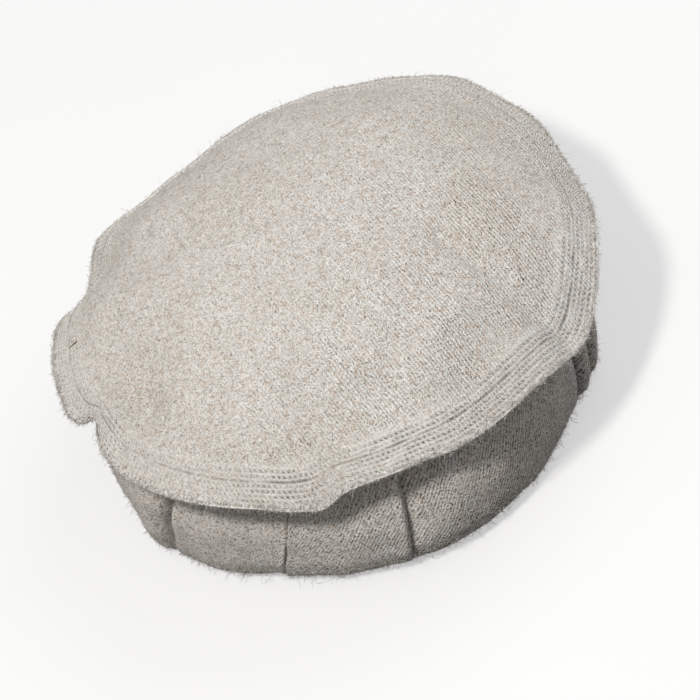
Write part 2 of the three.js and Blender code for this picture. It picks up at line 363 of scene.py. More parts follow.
def quilting(azimuth, distance):
    """Height in mm that sewing gives the rim's face, and two marks from 0 to 1: painted shade in the needle
    holes and row grooves, and pale wear with painted highlight on the crests and lip.
    """
    height = np.zeros(np.broadcast(azimuth, distance).shape)
    painted_shade = np.zeros_like(height)
    in_groove = np.zeros_like(height)
    for row, place in enumerate(STITCH_ROWS):
        phase = azimuth * stitches_in(row) / 360 - STITCH_STAGGER * row
        to_hole = (phase - np.round(phase)) * STITCH_LENGTH
        from_row = distance - place
        groove, shade = (TIGHT_GROOVE, TIGHT_ROW_SHADE) if row == TIGHT_ROW else (STITCH_GROOVE, ROW_SHADE)
        hole = bell(to_hole, HOLE_REACH) * bell(from_row, HOLE_REACH)
        line = bell(from_row, GROOVE_REACH)
        clear = row_fading(azimuth, row)
        height = height - (groove * line + STITCH_PIT * hole) * clear
        # Painted shade: full in each needle hole and part along the row's groove
        painted_shade = np.maximum(painted_shade, np.maximum(hole, shade * line) * clear)
        in_groove = np.maximum(in_groove, line)
    pull = stitch_pull(azimuth)
    quilted = 1 - smooth_step(*WEAR_AND_HIGHLIGHT_END, distance)
    lip = 1 - smooth_step(LIP / 2, LIP, distance)
    around = np.radians(azimuth)
    overcast = np.sin(311 * around) + np.sin(417 * around + 2) + np.sin(233 * around + 4)
    whipped = LIP_WHIPPING * overcast
    puff = QUILT_PUFF * (1 - smooth_step(*PUFF_END, distance))
    # Pale wear and painted highlight: lighter on the crests between the grooves, more where the sewing
    # pulls, and on the lip
    pale_wear_and_highlight = np.maximum(CREST_WEAR_AND_HIGHLIGHT * (1 - in_groove) * pull, LIP_WEAR_AND_HIGHLIGHT * lip) * quilted
    return height * pull + puff + whipped * lip, painted_shade * pull * PAINTED_SHADE_STRENGTH, pale_wear_and_highlight


def crown_cloth_point(azimuth, distance=None, share=None, lift=0.0):
    """A point of the finished crown's face, raised off it by a lift in mm, its normal and its two marks."""
    quilt = 0.0
    marks = np.zeros((2, len(azimuth)))
    if share is None:
        share = sewn_share(azimuth, distance)
        quilt, *marks = quilting(azimuth, distance)
    base = crown_face(azimuth, share)
    normal = crown_normal(azimuth, share)
    height = soft_lumps(base[..., 0], base[..., 1], CROWN_LUMPS) + quilt + lift
    return base + normal * np.asarray(height)[..., None], normal, np.asarray(marks)


def band_pleat(azimuth):
    depth = np.zeros_like(azimuth)
    for pleat in BAND_PLEATS:
        turn = turn_between(pleat.azimuth, azimuth)
        reach = np.where(turn < 0, pleat.before, pleat.after)
        depth = depth + pleat.depth * np.maximum(0, 1 - np.abs(turn) / reach) ** 2
    return depth


def band_swell(azimuth):
    out = np.zeros_like(azimuth)
    for swell in BAND_SWELLS:
        out = out + swell.out * bell(turn_between(swell.azimuth, azimuth), swell.width)
    return out


def band_lean(azimuth, height):
    lean = BACK_SEAM_LEAN * bell(turn_between(BACK_SEAM_AZIMUTH, azimuth), LEAN_REACH / 2)
    for pleat in BAND_PLEATS:
        lean = lean + pleat.lean * bell(turn_between(pleat.azimuth, azimuth), LEAN_REACH / 2)
    return lean * (height / BAND_HEIGHT - 0.5)


def side_rows(azimuth):
    """The side cloth's shown face and its back, as rows of points from the rim's seam to the hem."""
    seam_top = CROWN_WALL + SEAM_GAP
    face = [under_crown(azimuth, row.face_share, seam_top + row.drop) for row in SEAM_ROWS]
    back = [under_crown(azimuth, row.back_share, seam_top + row.drop + BAND_WALL) for row in SEAM_ROWS]
    rise, _ = rim_wave(azimuth, 1)
    pleat = band_pleat(azimuth)
    swell = band_swell(azimuth)
    line = []
    for row in SIDE_SECTION:
        radius = row.radius - pleat * row.pleat + swell * row.swell
        height = row.height + np.minimum(rise, 0) * row.wave
        line.append(np.stack([radius, height], axis=-1))
    for index, row in enumerate(SIDE_SECTION):
        last = line[max(0, index - 1)]
        following = line[min(len(line) - 1, index + 1)]
        along = unit(following - last)
        offset = np.stack([along[..., 1], -along[..., 0]], axis=-1) * BAND_WALL / 2
        for side, rows in ((1, face), (-1, back)):
            radius, height = np.moveaxis(line[index] + side * offset, -1, 0)
            plan = plan_point(azimuth + band_lean(azimuth, height), radius) + BAND_MIDDLE * row.shift
            rows.append(np.concatenate([plan, np.maximum(0, height)[..., None]], axis=-1))
    return np.array(face), np.array(back)


def smooth_rows(rows, counts):
    """Rows of points on a smooth curve through the given rows, with a count of steps for each span."""
    middle = rows.mean(axis=1)
    radius = np.hypot(rows[..., 0], rows[..., 1]).mean(axis=1)
    spans = np.hypot(np.diff(radius), np.diff(middle[:, 2]))
    slopes = np.diff(rows, axis=0) / spans[:, None, None]
    tangents = np.empty_like(rows)
    tangents[0] = slopes[0]
    tangents[-1] = slopes[-1]
    before = spans[:-1, None, None]
    after = spans[1:, None, None]
    tangents[1:-1] = (slopes[:-1] * after + slopes[1:] * before) / (before + after)
    dense = []
    path = []
    run = 0.0
    for index, count in enumerate(counts):
        span = spans[index]
        for step in range(count):
            t = step / count
            dense.append(
                (2 * t ** 3 - 3 * t ** 2 + 1) * rows[index]
                + (t ** 3 - 2 * t ** 2 + t) * span * tangents[index]
                + (3 * t ** 2 - 2 * t ** 3) * rows[index + 1]
                + (t ** 3 - t ** 2) * span * tangents[index + 1]
            )
            path.append(run + t * span)
        run += span
    dense.append(rows[-1])
    path.append(run)
    return np.array(dense), np.array(path)


def grid_normals(grid):
    """Unit normals of a grid of points whose columns close on themselves, out of the shown face."""
    down = np.gradient(grid, axis=0)
    wrapped = np.concatenate([grid[:, -1:], grid, grid[:, :1]], axis=1)
    round_band = wrapped[:, 2:] - wrapped[:, :-2]
    return unit(np.cross(round_band, down) + 1e-9)


def join_rings(rings):
    """Triangles between rings of points, where a ring may have twice or half as many points as the next."""
    triangles = []
    starts = np.concatenate([[0], np.cumsum([len(ring) for ring in rings])])
    for index in range(len(rings) - 1):
        here, there = starts[index], starts[index + 1]
        count, next_count = len(rings[index]), len(rings[index + 1])
        if count == next_count:
            j = np.arange(count)
            k = (j + 1) % count
            triangles.append(np.stack([here + j, there + j, there + k], axis=-1))
            triangles.append(np.stack([here + j, there + k, here + k], axis=-1))
        else:
            coarse, fine = (here, there) if count < next_count else (there, here)
            few = min(count, next_count)
            j = np.arange(few)
            k = (j + 1) % few
            first, middle, last = fine + 2 * j, fine + 2 * j + 1, fine + 2 * k
            fan = [(first, middle, coarse + j), (middle, coarse + k, coarse + j), (middle, last, coarse + k)]
            for a, b, c in fan:
                corners = (a, b, c) if coarse == here else (a, c, b)
                triangles.append(np.stack(corners, axis=-1))
    return np.concatenate(triangles)


def facing_out(points, triangles):
    a, b, c = (points[triangles[:, corner]] for corner in range(3))
    volume = np.einsum("ij,ij->i", a, np.cross(b, c)).sum()
    return triangles[:, ::-1] if volume < 0 else triangles


def make_piece(name, points, triangles, material, marks=None, uv=None):
    mesh = bpy.data.meshes.new(name)
    mesh.from_pydata((points * MM).tolist(), [], triangles.tolist())
    if uv is not None:
        layer = mesh.uv_layers.new(name="cloth")
        layer.data.foreach_set("uv", (uv * MM).astype(np.float32).ravel())
    for title, values in (marks or {}).items():
        layer = mesh.attributes.new(title, "FLOAT", "POINT")
        layer.data.foreach_set("value", values.astype(np.float32))
    mesh.polygons.foreach_set("use_smooth", np.ones(len(triangles), bool))
    mesh.materials.append(material)
    mesh.update()
    piece = bpy.data.objects.new(name, mesh)
    bpy.context.scene.collection.objects.link(piece)
    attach(piece, "root")
    return piece


# Materials

def to_linear(code):
    channels = [int(code[index:index + 2], 16) / 255 for index in (1, 3, 5)]
    linear = [c / 12.92 if c <= 0.04045 else ((c + 0.055) / 1.055) ** 2.4 for c in channels]
    return (*linear, 1.0)


def add_node(tree, kind, links, **settings):
    """Adds one node: its settings by name, and for each input socket a value or another node's output."""
    made = tree.nodes.new(kind)
    for name, value in settings.items():
        setattr(made, name, value)
    for socket, value in links.items():
        if isinstance(value, bpy.types.NodeSocket):
            tree.links.new(value, made.inputs[socket])
        else:
            made.inputs[socket].default_value = value
    return made


def new_material(name):
    material = bpy.data.materials.new(name)
    material.use_nodes = True
    tree = material.node_tree
    return material, tree, tree.nodes["Principled BSDF"]


# Fulled wool twill in an oatmeal melange: white, grey and brown fibres spun together, woven as a twill and
# shrunk until the nap half hides the weave. It is matt. Short fibres lie two ways in light and dark flecks,
# the diagonal ribs show most on the side that is worn bare, and the nap gives a faint pale sheen.
TWILL_RIB = 1.5
YARN_SPACING = 1.06
FIBRE_WIDTH = 0.62
FIBRE_LENGTH = 1.5
FIBRE_TURNS = (14, 101)
CROSSING = 1.3
SPECK = 0.5
SPECKS_SHOWN = 0.3
YARN_CUT = 0.45
SWAY_PATCH = 9
SWAY = 2.4
WEAVE_MIDDLE = 0.42
WEAVE_SHOWN = 0.22
WEAVE_RELIEF = 0.5
RELIEF = 0.3
FELTED_PATCH = 26
MELANGE_PATCH = 2.4
TONE_PATCH = 60
BARE_AZIMUTH = 165
BARE_FROM = -30
BARE_TO = 90
FELTED_CONTRAST = 0.75
BROWN_FIBRE = "#e3c6ad"
TONE_DRIFT = "#f3f0eb"
# Colour of the pale wear and painted highlight on the rim's crests and lip
WORN_AND_HIGHLIT_WOOL = "#f6f4f0"
# Colour of the painted shade in needle holes, row grooves, closed pleats and the back seam
PAINTED_SHADE_COLOUR = "#39332d"
NAP_SHEEN = "#efece6"
CROWN_SHADES = (
    (0.0, "#5d5751"), (0.22, "#a29c95"), (0.45, "#cfccc6"), (0.65, "#e5e3df"), (1.0, "#fcfcfa"),
)
# The band's shades: the same wool as the crown's, painted lighter to stand in for light on the band's side
# face
BAND_SHADES_PAINTED_LIGHTER = (
    (0.0, "#6f675f"), (0.22, "#bfb8b0"), (0.45, "#ebe7e0"), (0.65, "#f8f5f0"), (1.0, "#fefdfb"),
)


def set_ramp(ramp, stops):
    """Gives a colour ramp its stops, each a position and a colour code."""
    while len(ramp.elements) < len(stops):
        ramp.elements.new(1.0)
    for element, (position, code) in zip(ramp.elements, stops):
        element.position = position
        element.color = to_linear(code)


def woven_ribs(tree, flat):
    """Height of the twill, 0 to 1: ribs along the first axis, cut by the yarns at 45 degrees to them."""
    ribs = add_node(tree, "ShaderNodeTexWave", {
        "Vector": flat, "Scale": 2 * math.pi / (20 * TWILL_RIB), "Distortion": 1.6,
        "Detail": 2.0, "Detail Scale": 4.0,
    }, bands_direction="Y")
    turned = add_node(tree, "ShaderNodeMapping", {"Vector": flat, "Rotation": (0, 0, math.radians(45))})
    yarns = add_node(tree, "ShaderNodeTexWave", {
        "Vector": turned.outputs[0], "Scale": 2 * math.pi / (20 * YARN_SPACING), "Distortion": 1.2,
        "Detail": 2.0, "Detail Scale": 4.0,
    }, bands_direction="Y")
    cut = add_node(tree, "ShaderNodeMath", {
        0: ribs.outputs["Fac"], 1: yarns.outputs["Fac"],
    }, operation="MULTIPLY")
    mixed = add_node(tree, "ShaderNodeMix", {
        "Factor": YARN_CUT, "A": ribs.outputs["Fac"], "B": cut.outputs[0],
    }, data_type="FLOAT")
    return mixed.outputs[0]


def bare_share(tree, place, flat):
    """Where the nap is worn off and the twill shows, 0 to 1."""
    worn = add_node(tree, "ShaderNodeVectorMath", {
        0: place.outputs["Object"], 1: (*plan_point(BARE_AZIMUTH, 1 / MM), 0.0),
    }, operation="DOT_PRODUCT")
    side = add_node(tree, "ShaderNodeMapRange", {
        "Value": worn.outputs["Value"], "From Min": BARE_FROM, "From Max": BARE_TO,
        "To Min": 0.1, "To Max": 1.0,
    })
    patches = add_node(tree, "ShaderNodeTexNoise", {
        "Vector": flat, "Scale": 1 / FELTED_PATCH, "Detail": 3.0,
    })
    patchy = add_node(tree, "ShaderNodeMapRange", {
        "Value": patches.outputs["Fac"], "From Min": 0.36, "From Max": 0.62, "To Min": 0.4, "To Max": 1.0,
    })
    share = add_node(tree, "ShaderNodeMath", {
        0: side.outputs[0], 1: patchy.outputs[0],
    }, operation="MULTIPLY")
    return share.outputs[0]


def crossed_fibres(tree, flat):
    """Light and dark of short fibres that lie two ways, in small crossing patches, 0 to 1."""
    ways = []
    for turn in FIBRE_TURNS:
        laid = add_node(tree, "ShaderNodeMapping", {
            "Vector": flat, "Rotation": (0, 0, math.radians(turn)), "Location": (turn, 3 * turn, turn),
        })
        thin = add_node(tree, "ShaderNodeMapping", {
            "Vector": laid.outputs[0], "Scale": (1 / FIBRE_LENGTH, 1 / FIBRE_WIDTH, 1 / FIBRE_WIDTH),
        })
        ways.append(add_node(tree, "ShaderNodeTexNoise", {
            "Vector": thin.outputs[0], "Scale": 1.0, "Detail": 1.0, "Roughness": 0.6, "Distortion": 0.7,
        }).outputs["Fac"])
    crossing = add_node(tree, "ShaderNodeTexNoise", {"Vector": flat, "Scale": 1 / CROSSING, "Detail": 0.0})
    which = add_node(tree, "ShaderNodeMapRange", {
        "Value": crossing.outputs["Fac"], "From Min": 0.44, "From Max": 0.56,
    })
    laid = add_node(tree, "ShaderNodeMix", {"Factor": which.outputs[0], "A": ways[0], "B": ways[1]},
                    data_type="FLOAT")
    specks = add_node(tree, "ShaderNodeTexNoise", {"Vector": flat, "Scale": 1 / SPECK, "Detail": 0.0})
    both = add_node(tree, "ShaderNodeMix", {
        "Factor": SPECKS_SHOWN, "A": laid.outputs[0], "B": specks.outputs["Fac"],
    }, data_type="FLOAT")
    return both.outputs[0]


def fulled_wool_twill(name, by_uv, twill_turn, contrast, fibre_shades):
    material, tree, shader = new_material(name)
    place = add_node(tree, "ShaderNodeTexCoord", {})
    cloth_mm = add_node(tree, "ShaderNodeMapping", {
        "Vector": place.outputs["UV" if by_uv else "Object"],
        "Scale": (1 / MM, 1 / MM, 1 / MM),
        "Rotation": (0, 0, -math.radians(twill_turn)),
    })
    sway = add_node(tree, "ShaderNodeTexNoise", {
        "Vector": cloth_mm.outputs[0], "Scale": 1 / SWAY_PATCH, "Detail": 2.0,
    })
    sway_off = add_node(tree, "ShaderNodeVectorMath", {
        0: sway.outputs["Color"], 1: (0.5, 0.5, 0.5),
    }, operation="SUBTRACT")
    swayed = add_node(tree, "ShaderNodeVectorMath", {
        0: sway_off.outputs[0], 1: (SWAY, SWAY, SWAY), 2: cloth_mm.outputs[0],
    }, operation="MULTIPLY_ADD")
    flat = swayed.outputs[0]

    # Fibres and weave together give one level from dark to light
    weave = add_node(tree, "ShaderNodeMath", {
        0: woven_ribs(tree, flat), 1: WEAVE_MIDDLE,
    }, operation="SUBTRACT")
    bare = bare_share(tree, place, flat)
    weave_shown = add_node(tree, "ShaderNodeMath", {0: weave.outputs[0], 1: bare}, operation="MULTIPLY")
    level = add_node(tree, "ShaderNodeMath", {
        0: weave_shown.outputs[0], 1: WEAVE_SHOWN, 2: crossed_fibres(tree, flat),
    }, operation="MULTIPLY_ADD")
    from_middle = add_node(tree, "ShaderNodeMath", {0: level.outputs[0], 1: 0.5}, operation="SUBTRACT")
    gain = add_node(tree, "ShaderNodeMapRange", {
        "Value": bare, "To Min": FELTED_CONTRAST * contrast, "To Max": contrast,
    })
    shade = add_node(tree, "ShaderNodeMath", {0: from_middle.outputs[0], 1: gain.outputs[0], 2: 0.5},
                     operation="MULTIPLY_ADD", use_clamp=True)
    shades = add_node(tree, "ShaderNodeValToRGB", {"Fac": shade.outputs[0]})
    set_ramp(shades.color_ramp, fibre_shades)

    # Brown comes in single fibres and in faint patches, and the whole cloth drifts a little in tone
    melange = add_node(tree, "ShaderNodeTexNoise", {
        "Vector": flat, "Scale": 1 / MELANGE_PATCH, "Detail": 3.0, "Roughness": 0.75,
    })
    brown = add_node(tree, "ShaderNodeMapRange", {
        "Value": melange.outputs["Fac"], "From Min": 0.5, "From Max": 0.66, "To Max": 0.6,
    })
    browned = add_node(tree, "ShaderNodeMix", {
        "Factor": brown.outputs[0], "A": shades.outputs["Color"], "B": to_linear(BROWN_FIBRE),
    }, data_type="RGBA", blend_type="MULTIPLY")
    tone = add_node(tree, "ShaderNodeTexNoise", {"Vector": flat, "Scale": 1 / TONE_PATCH, "Detail": 2.0})
    drift = add_node(tree, "ShaderNodeMapRange", {
        "Value": tone.outputs["Fac"], "From Min": 0.35, "From Max": 0.65, "To Min": 0.0, "To Max": 0.6,
    })
    toned = add_node(tree, "ShaderNodeMix", {
        "Factor": drift.outputs[0], "A": browned.outputs["Result"], "B": to_linear(TONE_DRIFT),
    }, data_type="RGBA", blend_type="MULTIPLY")
    # Pale wear and painted highlight on the rim's crests and lip
    crests = add_node(tree, "ShaderNodeAttribute", {}, attribute_name="pale_wear_and_highlight")
    pale_wear_and_highlight = add_node(tree, "ShaderNodeMix", {
        "Factor": crests.outputs["Fac"], "A": toned.outputs["Result"], "B": to_linear(WORN_AND_HIGHLIT_WOOL),
    }, data_type="RGBA")
    # Painted shade: darker in needle holes, row grooves, closed pleats and the back seam's groove
    painted_shade_amount = add_node(tree, "ShaderNodeAttribute", {}, attribute_name="painted_shade")
    painted_shade = add_node(tree, "ShaderNodeMix", {
        "Factor": painted_shade_amount.outputs["Fac"], "A": pale_wear_and_highlight.outputs["Result"], "B": to_linear(PAINTED_SHADE_COLOUR),
    }, data_type="RGBA")

    relief = add_node(tree, "ShaderNodeMath", {
        0: weave_shown.outputs[0], 1: WEAVE_RELIEF, 2: shade.outputs[0],
    }, operation="MULTIPLY_ADD")
    bump = add_node(tree, "ShaderNodeBump", {
        "Height": relief.outputs[0], "Distance": RELIEF * MM, "Strength": 0.8,
    })
    rough = add_node(tree, "ShaderNodeMapRange", {
        "Value": shade.outputs[0], "To Min": 0.98, "To Max": 0.86,
    })
    tree.links.new(painted_shade.outputs["Result"], shader.inputs["Base Color"])
    tree.links.new(rough.outputs[0], shader.inputs["Roughness"])
    tree.links.new(bump.outputs["Normal"], shader.inputs["Normal"])
    shader.inputs["Specular IOR Level"].default_value = 0.15
    shader.inputs["Sheen Weight"].default_value = 0.12
    shader.inputs["Sheen Roughness"].default_value = 0.6
    shader.inputs["Sheen Tint"].default_value = to_linear(NAP_SHEEN)
    return material


# Spun sewing thread in cream: two plies twisted together, a little shinier than the wool round it.
def spun_sewing_thread():
    material, tree, shader = new_material("spun_sewing_thread")
    place = add_node(tree, "ShaderNodeTexCoord", {})
    plies = add_node(tree, "ShaderNodeTexNoise", {
        "Vector": place.outputs["Object"], "Scale": 1 / (0.8 * MM), "Detail": 2.0,
    })
    colour = add_node(tree, "ShaderNodeMix", {
        "Factor": plies.outputs["Fac"], "A": to_linear("#dedad3"), "B": to_linear("#fbfaf7"),
    }, data_type="RGBA")
    tree.links.new(colour.outputs["Result"], shader.inputs["Base Color"])
    bump = add_node(tree, "ShaderNodeBump", {"Height": plies.outputs["Fac"], "Distance": 0.06 * MM})
    tree.links.new(bump.outputs["Normal"], shader.inputs["Normal"])
    shader.inputs["Roughness"].default_value = 0.75
    shader.inputs["Specular IOR Level"].default_value = 0.25
    return material


# Loose wool fibre: single hairs off the nap, mostly white or cream, some grey and a few dark brown.
LOOSE_FIBRE_SHADES = (
    (0.0, "#6b5d4f"), (0.025, "#9c9184"), (0.12, "#c6beb3"), (0.35, "#e0dcd5"), (0.7, "#f4f2ed"),
)


def loose_wool_fibre():
    material, tree, shader = new_material("loose_wool_fibre")
    strand = add_node(tree, "ShaderNodeNewGeometry", {})
    shades = add_node(tree, "ShaderNodeValToRGB", {"Fac": strand.outputs["Random Per Island"]})
    shades.color_ramp.interpolation = "CONSTANT"
    set_ramp(shades.color_ramp, LOOSE_FIBRE_SHADES)
    tree.links.new(shades.outputs["Color"], shader.inputs["Base Color"])
    shader.inputs["Roughness"].default_value = 0.7
    shader.inputs["Specular IOR Level"].default_value = 0.2
    return material


# Brown bits of straw and hair that stay in hand-finished wool.
def dark_burr():
    material, tree, shader = new_material("dark_burr")
    place = add_node(tree, "ShaderNodeTexCoord", {})
    grain = add_node(tree, "ShaderNodeTexNoise", {"Vector": place.outputs["Object"], "Scale": 1 / MM})
    colour = add_node(tree, "ShaderNodeMix", {
        "Factor": grain.outputs["Fac"], "A": to_linear("#4a3a26"), "B": to_linear("#7c6746"),
    }, data_type="RGBA")
    tree.links.new(colour.outputs["Result"], shader.inputs["Base Color"])
    shader.inputs["Roughness"].default_value = 0.8
    return material


# Opal acrylic studio floor, lit from below: matt, near white, with the faintest mottling and faint shadows.
def lit_acrylic_floor():
    material, tree, shader = new_material("lit_acrylic_floor")
    place = add_node(tree, "ShaderNodeTexCoord", {})
    mottle = add_node(tree, "ShaderNodeTexNoise", {"Vector": place.outputs["Object"], "Scale": 6.0})
    colour = add_node(tree, "ShaderNodeMix", {
        "Factor": mottle.outputs["Fac"], "A": to_linear("#b4b4b3"), "B": to_linear("#b9b9b8"),
    }, data_type="RGBA")
    tree.links.new(colour.outputs["Result"], shader.inputs["Base Color"])
    shader.inputs["Emission Color"].default_value = to_linear("#fdfdfd")
    shader.inputs["Emission Strength"].default_value = 0.5
    shader.inputs["Roughness"].default_value = 0.9
    shader.inputs["Specular IOR Level"].default_value = 0.1
    return material


# The crown's cloth

QUILTED_REACH = 19.0
LAST_FLAT_ROW = 18.1
LIP_ROWS = (0.0, 0.8, 1.6)
EDGE_TURNS = (30, 62, 90, 118, 150)
TopZone = namedtuple("TopZone", "divide start end step")
TOP_ZONES = [
    TopZone(16, 2.5, 8, 2.5),
    TopZone(8, 10, 29, 2.2),
    TopZone(4, 30, 60, 1.8),
    TopZone(2, 61.5, 111, 1.6),
]
UnderZone = namedtuple("UnderZone", "divide start end rows")
UNDER_ZONES = [
    UnderZone(2, 0.99, 0.9, 4),
    UnderZone(4, 0.87, 0.52, 10),
    UnderZone(8, 0.48, 0.24, 6),
    UnderZone(16, 0.2, 0.04, 4),
]


def quilted_rows():
    """Distances from the edge of the mesh rows that carry the quilting, from the innermost to the edge."""
    rows = list(LIP_ROWS)
    for index, place in enumerate(STITCH_ROWS):
        rows += [place + offset for offset in MESH_ROWS_PER_STITCH]
        if index + 1 < len(STITCH_ROWS):
            rows.append((place + STITCH_ROWS[index + 1]) / 2)
    rows += [LAST_FLAT_ROW, QUILTED_REACH]
    return sorted(rows, reverse=True)


def ring_azimuths(divide):
    count = RIM_COLUMNS // divide
    return np.arange(count) * 360.0 / count


def pole_fan(pole, ring_start, count):
    """Triangles from one point to the ring of points round it."""
    j = np.arange(count)
    return np.stack([np.full(count, pole), ring_start + j, ring_start + (j + 1) % count], axis=-1)


def crown_cloth(material):
    top = crown_cloth_point(np.zeros(1), share=np.zeros(1))[0]
    rings = [top]
    marks = [np.zeros((2, 1))]
    for zone in TOP_ZONES:
        azimuths = ring_azimuths(zone.divide)
        for radius in np.arange(zone.start, zone.end, zone.step):
            share = np.full_like(azimuths, radius / RIM_RADIUS)
            points, _, plain = crown_cloth_point(azimuths, share=share)
            rings.append(points)
            marks.append(plain)
    azimuths = ring_azimuths(1)
    for distance in quilted_rows():
        points, _, quilted = crown_cloth_point(azimuths, distance=np.full_like(azimuths, distance))
        rings.append(points)
        marks.append(quilted)
    edge_middle = under_crown(azimuths, 1, CROWN_WALL / 2)
    edge_normal = crown_normal(azimuths, 1)
    outward = level_outward(azimuths)
    puff, *edge_marks = quilting(azimuths, np.zeros_like(azimuths))
    for turn in EDGE_TURNS:
        up = math.cos(math.radians(turn))
        out = math.sin(math.radians(turn))
        swell = (1 + up) / 2 * puff
        reach = CROWN_WALL / 2 * up + swell
        rings.append(edge_middle + edge_normal * reach[:, None] + outward * EDGE_ROUND * out)
        marks.append(np.asarray(edge_marks))
    rings.append(under_crown(azimuths, 1, CROWN_WALL))
    marks.append(np.zeros((2, len(azimuths))))
    for zone in UNDER_ZONES:
        azimuths = ring_azimuths(zone.divide)
        for share in np.linspace(zone.start, zone.end, zone.rows):
            rings.append(under_crown(azimuths, np.full_like(azimuths, share), CROWN_WALL))
            marks.append(np.zeros((2, len(azimuths))))
    rings.append(np.array([[0.0, 0.0, top[0, 2] - CROWN_WALL]]))
    marks.append(np.zeros((2, 1)))
    points = np.concatenate(rings)
    middle = join_rings(rings[1:-1]) + 1
    last = len(points) - 1
    top_fan = pole_fan(0, 1, len(rings[1]))
    under_fan = pole_fan(last, last - len(rings[-2]), len(rings[-2]))[:, [0, 2, 1]]
    triangles = facing_out(points, np.concatenate([top_fan, middle, under_fan]))
    # Each point's painted shade, and its pale wear with painted highlight
    painted_shade, pale_wear_and_highlight = np.concatenate(marks, axis=1)
    return make_piece("crown_cloth", points, triangles, material,
                      marks={"painted_shade": painted_shade, "pale_wear_and_highlight": pale_wear_and_highlight})


# The side cloth, from the rim's seam to the tucked hem

BAND_STEP = 0.75
FINE_STEP = 0.22
FINE_REACH = 1.8
LOOSE_FROM = 40
LOOSE_TO = 60
SEAM_WAVER = 0.5
SEAM_WAVER_LENGTH = 7
SEAM_RIDGE = 0.12
SEAM_RIDGE_PLACE = 1.4
SEAM_RIDGE_WIDTH = 0.7
BACK_CLEARANCE = 0.4
SEAM_EDGE_PATH = -1.5
BandCloth = namedtuple("BandCloth", "azimuths arc face face_path back back_path creased")


def band_azimuths():
    """Azimuths round the band from the back seam on: even steps, and fine ones at creases and seam."""
    steps = list(BACK_SEAM_AZIMUTH + np.arange(0, 360, BAND_STEP))
    creases = [pleat.azimuth for pleat in BAND_PLEATS]
    for middle in creases + [BACK_SEAM_AZIMUTH]:
        fine = np.arange(-FINE_REACH, FINE_REACH, FINE_STEP) + middle
        steps += list((fine - BACK_SEAM_AZIMUTH) % 360 + BACK_SEAM_AZIMUTH)
    steps = np.sort(np.array(steps))
    apart = np.concatenate([[True], np.diff(steps) > FINE_STEP / 2])
    return steps[apart]


def pleat_shade(azimuth):
    shade = np.zeros_like(azimuth)
    for pleat in PLEAT_SHADES:
        turn = turn_between(pleat.azimuth, azimuth)
        reach = np.where(turn < 0, pleat.before, pleat.after)
        shade = np.maximum(shade, pleat.shade * np.maximum(0, 1 - np.abs(turn) / reach))
    return shade


def band_cloth_rows():
    """Dense rows of the side cloth's face and back, with its lumps, its back seam, and the painted shade in
    its pleats and back seam.
    """
    azimuths = band_azimuths()
    face, back = side_rows(azimuths)
    face_counts = [SEAM_FACE_ROWS] * len(SEAM_ROWS) + [row.face_rows for row in SIDE_SECTION[:-1]]
    back_counts = [SEAM_BACK_ROWS] * len(SEAM_ROWS) + [row.back_rows for row in SIDE_SECTION[:-1]]
    face, face_path = smooth_rows(face, face_counts)
    back, back_path = smooth_rows(back, back_counts)
    arc = np.radians(azimuths - BACK_SEAM_AZIMUTH) * BAND_RADIUS
    lumps = soft_lumps(arc[None, :], face_path[:, None], BAND_LUMPS)
    loose = smooth_step(LOOSE_FROM, LOOSE_TO, face_path)[:, None]
    waver = SEAM_WAVER * np.sin(face_path / SEAM_WAVER_LENGTH)[:, None]
    seam_arc = turn_between(BACK_SEAM_AZIMUTH, azimuths)[None, :] * math.pi / 180 * BAND_RADIUS
    seam = BACK_SEAM_DEPTH * bell(seam_arc - waver, BACK_SEAM_WIDTH)
    ridge = SEAM_RIDGE * bell(np.abs(seam_arc - waver) - SEAM_RIDGE_PLACE, SEAM_RIDGE_WIDTH)
    height = (lumps + ridge - seam) * loose
    face = face + grid_normals(face) * height[..., None]
    face[..., 2] = np.maximum(face[..., 2], 0)
    back[..., 2] = np.maximum(back[..., 2], BACK_CLEARANCE)
    # Painted shade in the back seam's groove and in the closed pleats
    creased = np.clip(seam / BACK_SEAM_DEPTH, 0, 1) * BACK_SEAM_SHADE
    creased = np.maximum(creased, pleat_shade(azimuths)[None, :]) * loose
    return BandCloth(azimuths, arc, face, face_path, back, back_path, creased)


def band_cloth(material, cloth):
    seam_edge = under_crown(cloth.azimuths, 1, CROWN_WALL + SEAM_GAP + BAND_WALL / 2)
    seam_edge[:, :2] += plan_point(cloth.azimuths, EDGE_ROUND)
    rings = [seam_edge, *cloth.face, *cloth.back[::-1]]
    path = np.concatenate([[SEAM_EDGE_PATH], cloth.face_path, cloth.back_path[::-1]])
    points = np.concatenate(rings)
    closed = join_rings(rings + [seam_edge])
    triangles = facing_out(points, closed % len(points))
    columns = len(cloth.azimuths)
    column = triangles % columns
    wraps = (column.max(axis=1) - column.min(axis=1)) > columns / 2
    past_seam = wraps[:, None] & (column < columns / 2)
    across = cloth.arc[column] + np.where(past_seam, 2 * math.pi * BAND_RADIUS, 0)
    along = path[triangles // columns]
    uv = np.stack([across, along], axis=-1).reshape(-1, 2)
    # Painted shade of the pleats and back seam goes on the face rows only
    painted_shade = np.zeros((len(rings), columns))
    painted_shade[1:1 + len(cloth.face)] = cloth.creased
    return make_piece("rolled_band_cloth", points, triangles, material,
                      marks={"painted_shade": painted_shade.ravel()}, uv=uv)


# Strands: thread, nap, loose hairs and flecks, each kind one mesh of thin tubes

